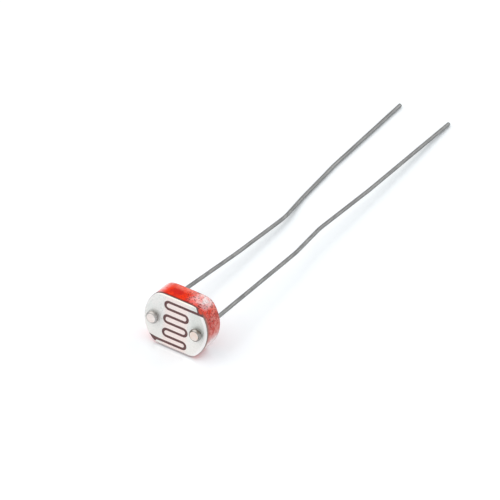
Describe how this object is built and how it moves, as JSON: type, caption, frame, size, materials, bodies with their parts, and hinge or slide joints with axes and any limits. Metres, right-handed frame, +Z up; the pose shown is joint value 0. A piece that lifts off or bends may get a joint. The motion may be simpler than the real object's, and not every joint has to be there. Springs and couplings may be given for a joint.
{
  "type": "photoresistor",
  "caption": "Round photoresistor with flats, a winding light-sensitive track between two film electrodes, red resin rim and back, and long bent wire leads.",
  "frame": {"origin": "on the table, under the middle of the whole part", "axes": "+Y from the face to the tips of the leads, +Z up from the table, +X to the right as seen from the face"},
  "size_m": [0.0056, 0.0358, 0.0042],
  "materials": {
    "ceramic": "matt, fired",
    "photoconductor": "matt, sintered",
    "electrode_film": "satin, evaporated metal",
    "tinned_wire": "dull tinned",
    "red_resin": "glossy dipped resin"
  },
  "bodies": {
    "root": {"ceramic_base": "ceramic", "photoconductive_layer": "photoconductor", "left_electrode": "electrode_film", "right_electrode": "electrode_film", "left_lead": "tinned_wire", "right_lead": "tinned_wire", "red_coating": "red_resin"}
  },
  "joints": []
}
